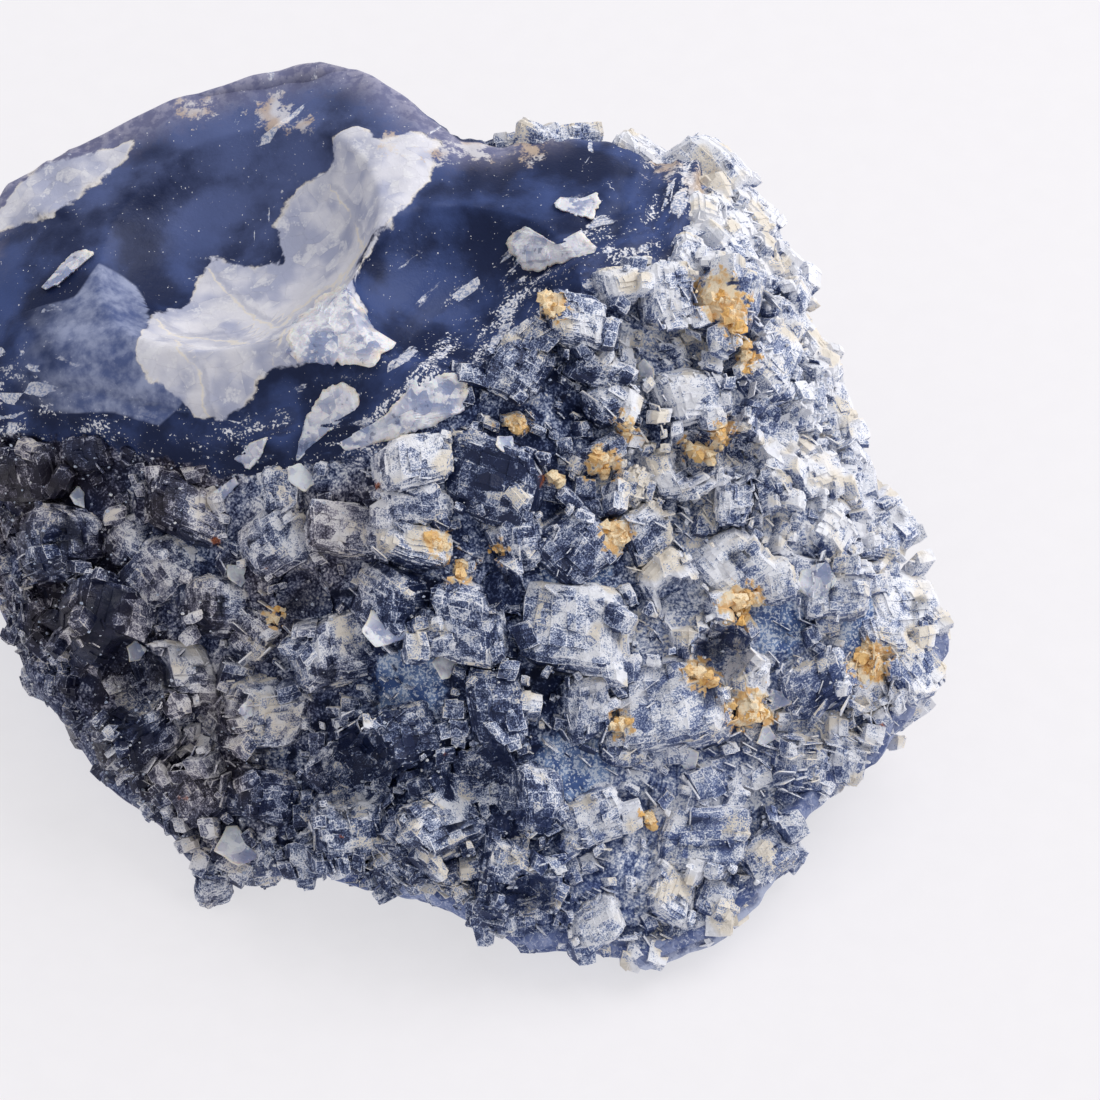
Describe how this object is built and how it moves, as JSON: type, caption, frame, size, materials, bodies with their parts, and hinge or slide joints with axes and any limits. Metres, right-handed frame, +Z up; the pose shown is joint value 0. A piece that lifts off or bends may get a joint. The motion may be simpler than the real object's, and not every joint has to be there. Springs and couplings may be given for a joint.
{
  "type": "rough blue chalcedony stone",
  "caption": "Rough hand-sized piece of dark blue chalcedony: smooth broken top with shell-shaped hollows, blocky crystal crust on the front, flat underside.",
  "frame": {"origin": "centre of the stone's own box, on the surface that it lies on", "axes": "+Z up from the flat underside, +X along the stone's length towards its thin tip, +Y away from the crystal crust"},
  "size_m": [0.0652, 0.056, 0.0314],
  "materials": {
    "blue_chalcedony": "satin"
  },
  "bodies": {
    "root": {"stone": "blue_chalcedony"}
  },
  "joints": []
}
